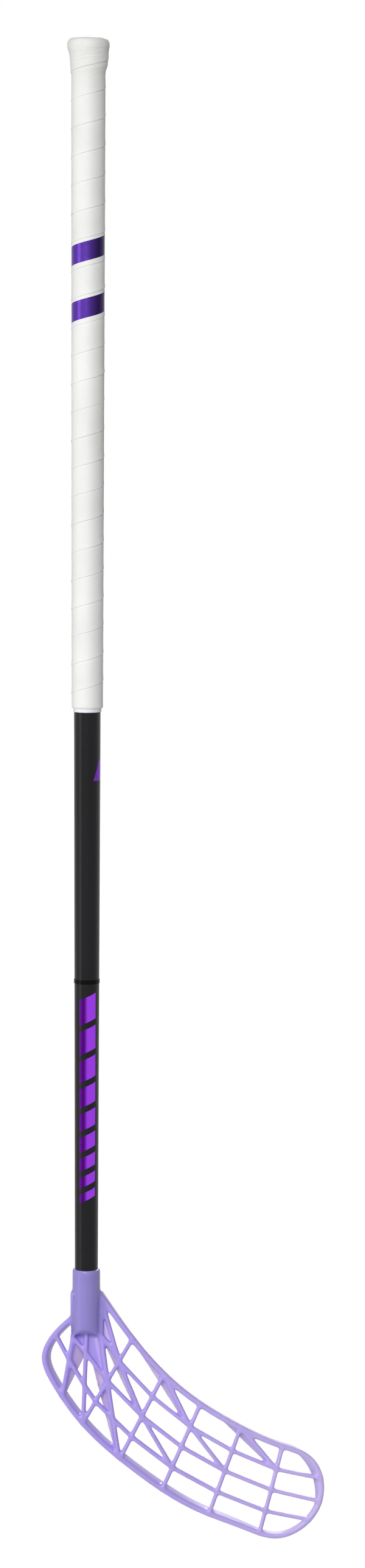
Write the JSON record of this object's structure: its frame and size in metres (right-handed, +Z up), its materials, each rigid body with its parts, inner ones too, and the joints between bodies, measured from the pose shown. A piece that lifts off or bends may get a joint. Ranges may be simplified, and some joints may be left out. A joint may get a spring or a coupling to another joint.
{
  "type": "floorball stick",
  "caption": "Floorball stick: tapered tube shaft, wound cushioned grip with flared butt knob, and a ribbed curved plastic blade on a screwed socket.",
  "frame": {"origin": "middle of the flat butt end of the cap", "axes": "+Z up along the shaft's axis, out of the butt end; +X towards the blade's toe; -Y out of the blade's convex face"},
  "size_m": [0.2255, 0.0403, 1.1761],
  "materials": {
    "shaft_black": "matt charcoal composite tube with fine winding ridges",
    "cap_white": "pale moulded plastic",
    "grip_white": "soft white cushioned tape with a fine grain",
    "tape_white": "thin adhesive tape",
    "ring_black": "gloss black film",
    "blade_lilac": "satin lilac injection-moulded plastic",
    "screw_steel": "zinc-plated steel"
  },
  "bodies": {
    "root": {"shaft": "shaft_black", "butt_cap": "cap_white", "grip_tape": "grip_white", "finishing_tape": "tape_white", "shaft_ring": "ring_black", "blade": "blade_lilac", "blade_screw": "screw_steel"}
  },
  "joints": []
}
